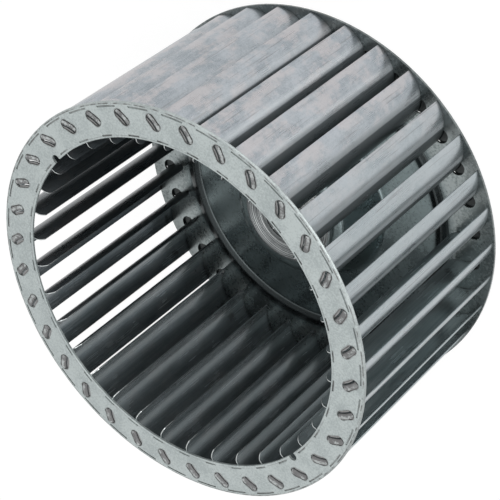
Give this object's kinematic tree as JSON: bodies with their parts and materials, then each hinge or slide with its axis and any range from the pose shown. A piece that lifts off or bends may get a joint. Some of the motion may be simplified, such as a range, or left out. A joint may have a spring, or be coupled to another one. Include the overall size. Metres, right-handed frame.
{
  "type": "blower wheel",
  "caption": "Forward-curved centrifugal blower wheel: curved sheet blades clinched between a flat front ring and a drawn back plate with a turned hub.",
  "frame": {"origin": "on the axle, at the level of the folded back tabs that the wheel stands on", "axes": "+Z along the axle from the back plate to the inlet ring, +X through a notch of the ring"},
  "size_m": [0.2, 0.2, 0.1127],
  "materials": {
    "galvanised_ring": "galvanised sheet, pale and matt",
    "galvanised_plate": "galvanised sheet, a little darker",
    "galvanised_blade": "galvanised sheet with rolling streaks",
    "turned_hub": "turned metal with fine concentric lines",
    "black_steel": "blackened steel"
  },
  "bodies": {
    "root": {"front_ring": "galvanised_ring", "back_plate": "galvanised_plate", "hub": "turned_hub", "set_screw": "black_steel", "blade_01": "galvanised_blade", "blade_02": "galvanised_blade", "blade_03": "galvanised_blade", "blade_04": "galvanised_blade", "blade_05": "galvanised_blade", "blade_06": "galvanised_blade", "blade_07": "galvanised_blade", "blade_08": "galvanised_blade", "blade_09": "galvanised_blade", "blade_10": "galvanised_blade", "blade_11": "galvanised_blade", "blade_12": "galvanised_blade", "blade_13": "galvanised_blade", "blade_14": "galvanised_blade", "blade_15": "galvanised_blade", "blade_16": "galvanised_blade", "blade_17": "galvanised_blade", "blade_18": "galvanised_blade", "blade_19": "galvanised_blade", "blade_20": "galvanised_blade", "blade_21": "galvanised_blade", "blade_22": "galvanised_blade", "blade_23": "galvanised_blade", "blade_24": "galvanised_blade", "blade_25": "galvanised_blade", "blade_26": "galvanised_blade", "blade_27": "galvanised_blade", "blade_28": "galvanised_blade", "blade_29": "galvanised_blade", "blade_30": "galvanised_blade", "blade_31": "galvanised_blade", "blade_32": "galvanised_blade", "blade_33": "galvanised_blade", "blade_34": "galvanised_blade"}
  },
  "joints": []
}
